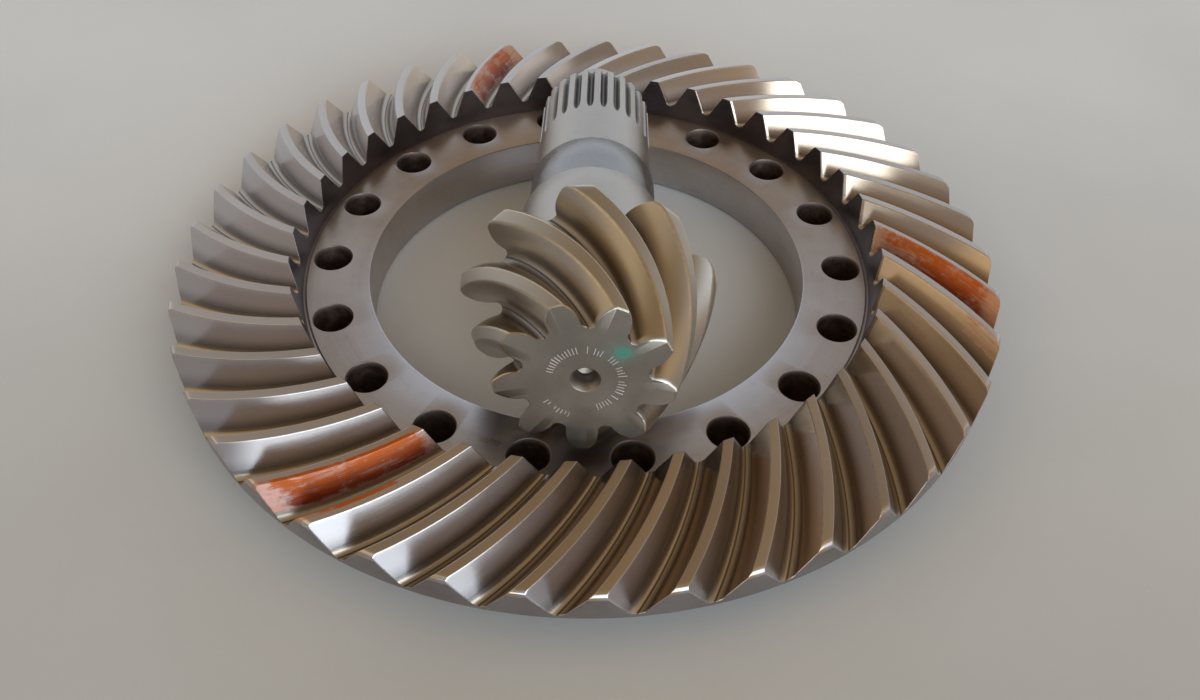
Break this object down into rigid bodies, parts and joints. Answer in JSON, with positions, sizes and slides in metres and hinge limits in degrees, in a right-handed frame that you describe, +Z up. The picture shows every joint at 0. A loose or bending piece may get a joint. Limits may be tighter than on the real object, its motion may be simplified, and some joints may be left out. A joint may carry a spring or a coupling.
{
  "type": "spiral bevel gear pair",
  "caption": "Spiral bevel crown wheel lying flat with a bolt flange inside its teeth, and its matching pinion with a splined shaft resting loose across the bore.",
  "frame": {"origin": "on the crown wheel's axis, in the plane of its flat back, which is the plane the pair rests on", "axes": "+Z up along the crown wheel's axis, out of the toothed side; +Y from the pinion's small end towards its threaded end; +X to the right of a viewer who faces the pinion's small end"},
  "size_m": [0.4566, 0.4566, 0.1391],
  "materials": {
    "wheel_steel": "ground tooth flanks, fine-turned flange, thin oil film",
    "pinion_steel": "ground tooth flanks and journals"
  },
  "bodies": {
    "wheel": {"crown_wheel": "wheel_steel"},
    "pinion": {"pinion": "pinion_steel"}
  },
  "joints": [
    {"name": "pinion_spin", "type": "hinge", "parent": "wheel", "child": "pinion", "pos_m": [-0.0003, -0.14335, 0.08415], "axis": [0.0187, 0.9919, -0.1253], "continuous": true}
  ]
}
